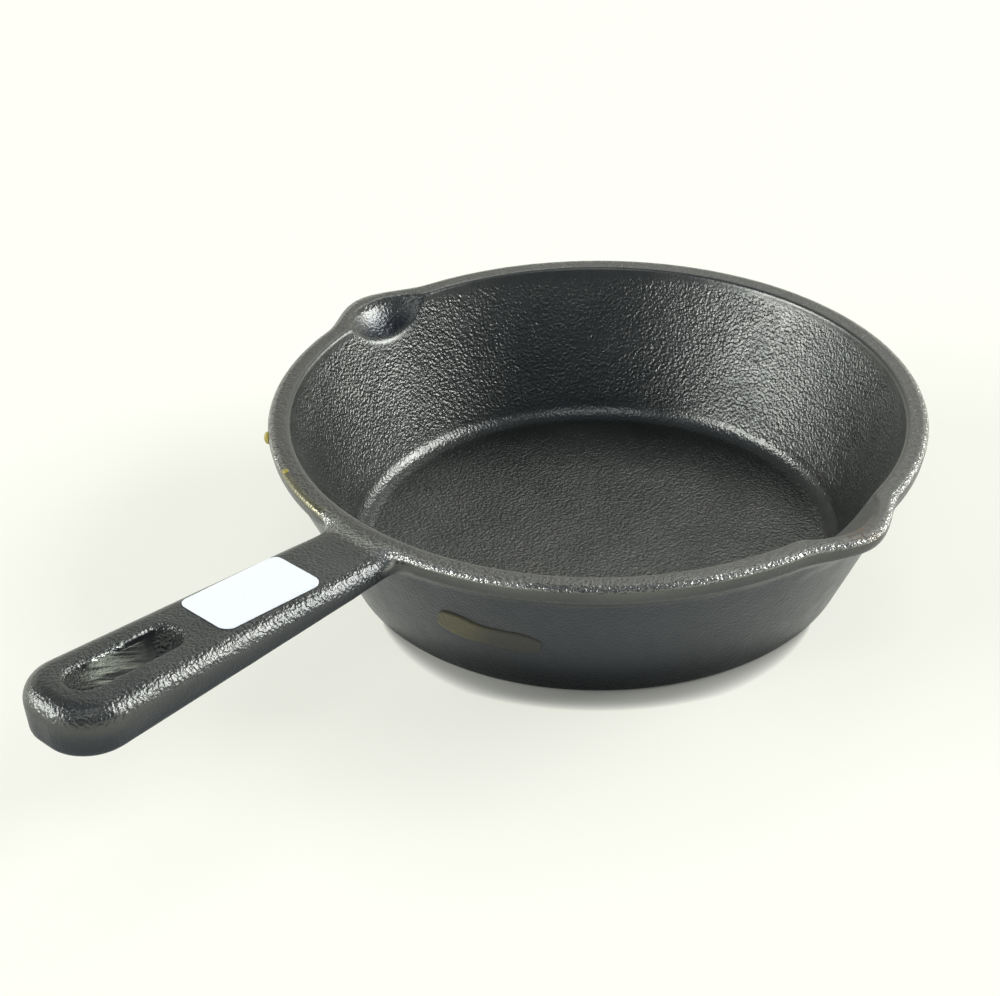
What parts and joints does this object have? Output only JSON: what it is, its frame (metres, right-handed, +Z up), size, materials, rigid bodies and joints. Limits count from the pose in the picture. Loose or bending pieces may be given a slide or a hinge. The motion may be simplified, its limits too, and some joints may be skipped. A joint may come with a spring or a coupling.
{
  "type": "cast iron frying pan",
  "caption": "Round cast iron frying pan with a flared wall, a pour lip on each side, a flat widening handle with a hang slot and a small blank paper label.",
  "frame": {"origin": "middle of the flat base, on the surface that the pan stands on", "axes": "+Z up through the middle of the bowl, +X along the handle towards its tip, pour lips on +Y and -Y"},
  "size_m": [0.2489, 0.1706, 0.0431],
  "materials": {
    "iron": "sand-cast, seasoned with baked-on oil, satin",
    "paper": "smooth white label paper, unprinted"
  },
  "bodies": {
    "root": {"pan_casting": "iron", "paper_label": "paper"}
  },
  "joints": []
}
